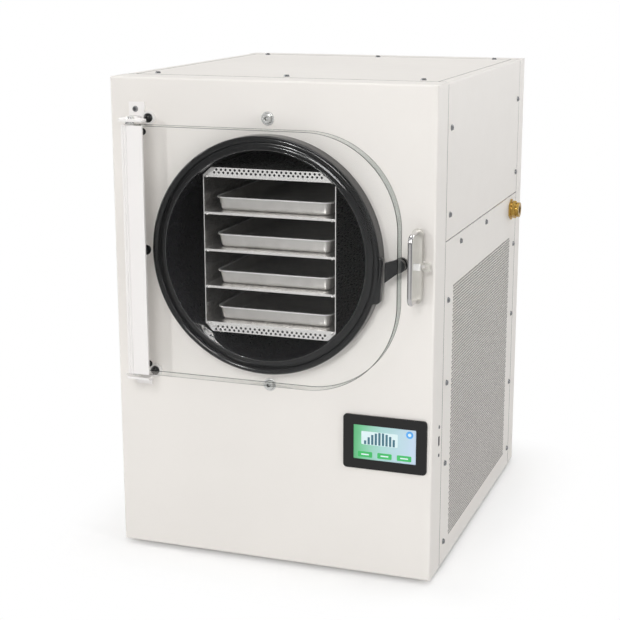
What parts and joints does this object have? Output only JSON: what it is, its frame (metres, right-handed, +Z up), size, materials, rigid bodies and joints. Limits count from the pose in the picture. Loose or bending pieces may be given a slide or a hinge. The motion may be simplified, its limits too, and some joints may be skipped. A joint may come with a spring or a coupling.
{
  "type": "freeze dryer",
  "caption": "Home freeze dryer: sheet cabinet, round vacuum chamber with tray rack, clear swinging door with slide latch, display, grilles and refrigeration parts.",
  "frame": {"origin": "on the floor, at the middle of the machine's footprint, door handle included", "axes": "+Z up; -Y is the front, where the door is; +X is to the right as seen from the front"},
  "size_m": [0.487, 0.5952, 0.6744],
  "materials": {
    "cabinet_paint": "satin powder coat",
    "zinc_steel": "zinc plated",
    "foot_rubber": "matt",
    "socket_metal": "plated",
    "black_enamel": "semi-gloss enamel",
    "foam": "foam",
    "copper": "drawn copper",
    "gasket_rubber": "glossy",
    "bolt_steel": "bright plated",
    "blackened_steel": "black oxide",
    "rack_steel": "bright",
    "tray_steel": "brushed",
    "bezel_plastic": "satin",
    "screen_glass": "lit screen",
    "board": "satin",
    "compressor_paint": "black enamel",
    "fin_metal": "mill finish",
    "fan_plastic": "matt",
    "brass": "machined",
    "hinge_paint": "white gloss",
    "guide_nylon": "satin",
    "clear_acrylic": "polished clear",
    "black_nylon": "satin",
    "latch_metal": "satin",
    "chrome": "polished",
    "rocker_plastic": "satin",
    "tap_plastic": "satin"
  },
  "bodies": {
    "cabinet": {"base_pan": "cabinet_paint", "front_panel": "cabinet_paint", "top_panel": "cabinet_paint", "right_upper_panel": "cabinet_paint", "right_lower_panel": "cabinet_paint", "left_upper_panel": "cabinet_paint", "left_lower_panel": "cabinet_paint", "rear_panel": "cabinet_paint", "frame": "zinc_steel", "panel_screws": "zinc_steel", "bracket_screws": "zinc_steel", "power_supply": "zinc_steel", "feet": "foot_rubber", "usb_port": "socket_metal", "chamber_drum": "black_enamel", "foam_jacket": "foam", "evaporator_coil": "copper", "vacuum_pipe": "copper", "door_gasket": "gasket_rubber", "chamber_bolts": "bolt_steel", "hinge_pivots": "bolt_steel", "bracket_bolts": "blackened_steel", "rack_side_left": "rack_steel", "rack_side_right": "rack_steel", "shelf_1": "rack_steel", "shelf_2": "rack_steel", "shelf_3": "rack_steel", "shelf_4": "rack_steel", "shelf_5": "rack_steel", "top_guard": "rack_steel", "bottom_guard": "rack_steel", "tray_1": "tray_steel", "tray_2": "tray_steel", "tray_3": "tray_steel", "tray_4": "tray_steel", "display_bezel": "bezel_plastic", "power_inlet": "bezel_plastic", "display_glass": "screen_glass", "control_board": "board", "compressor": "compressor_paint", "fan_motor": "compressor_paint", "condenser_coil": "fin_metal", "fan_shroud": "fan_plastic", "vacuum_fitting": "brass", "drain_valve": "brass", "hinge_bracket_top": "hinge_paint", "hinge_bracket_bottom": "hinge_paint", "latch_guide": "guide_nylon"},
    "door": {"door_plate": "clear_acrylic", "hinge_bar": "hinge_paint", "hinge_bolts": "black_nylon", "keeper": "black_nylon"},
    "latch": {"latch_plate": "latch_metal", "latch_handle": "chrome", "latch_nuts": "zinc_steel"},
    "fan": {"fan_rotor": "fan_plastic"},
    "rocker": {"power_rocker": "rocker_plastic"},
    "tap": {"drain_tap": "tap_plastic"}
  },
  "joints": [
    {"name": "door_swing", "type": "hinge", "parent": "cabinet", "child": "door", "pos_m": [-0.182, -0.27946, 0.4425], "axis": [0, 0, -1], "range_deg": [0, 170]},
    {"name": "latch_slide", "type": "slide", "parent": "cabinet", "child": "latch", "axis": [-1, 0, 0], "range_m": [0, 0.01]},
    {"name": "fan_spin", "type": "hinge", "parent": "cabinet", "child": "fan", "pos_m": [0.1461, 0.02384, 0.131], "axis": [1, 0, 0], "continuous": true},
    {"name": "rocker_press", "type": "hinge", "parent": "cabinet", "child": "rocker", "pos_m": [-0.136, 0.29034, 0.096], "axis": [1, 0, 0], "range_deg": [0, 16]},
    {"name": "drain_turn", "type": "hinge", "parent": "cabinet", "child": "tap", "pos_m": [-0.236, -0.17666, 0.21], "axis": [0, 0, 1], "range_deg": [0, 90]}
  ]
}
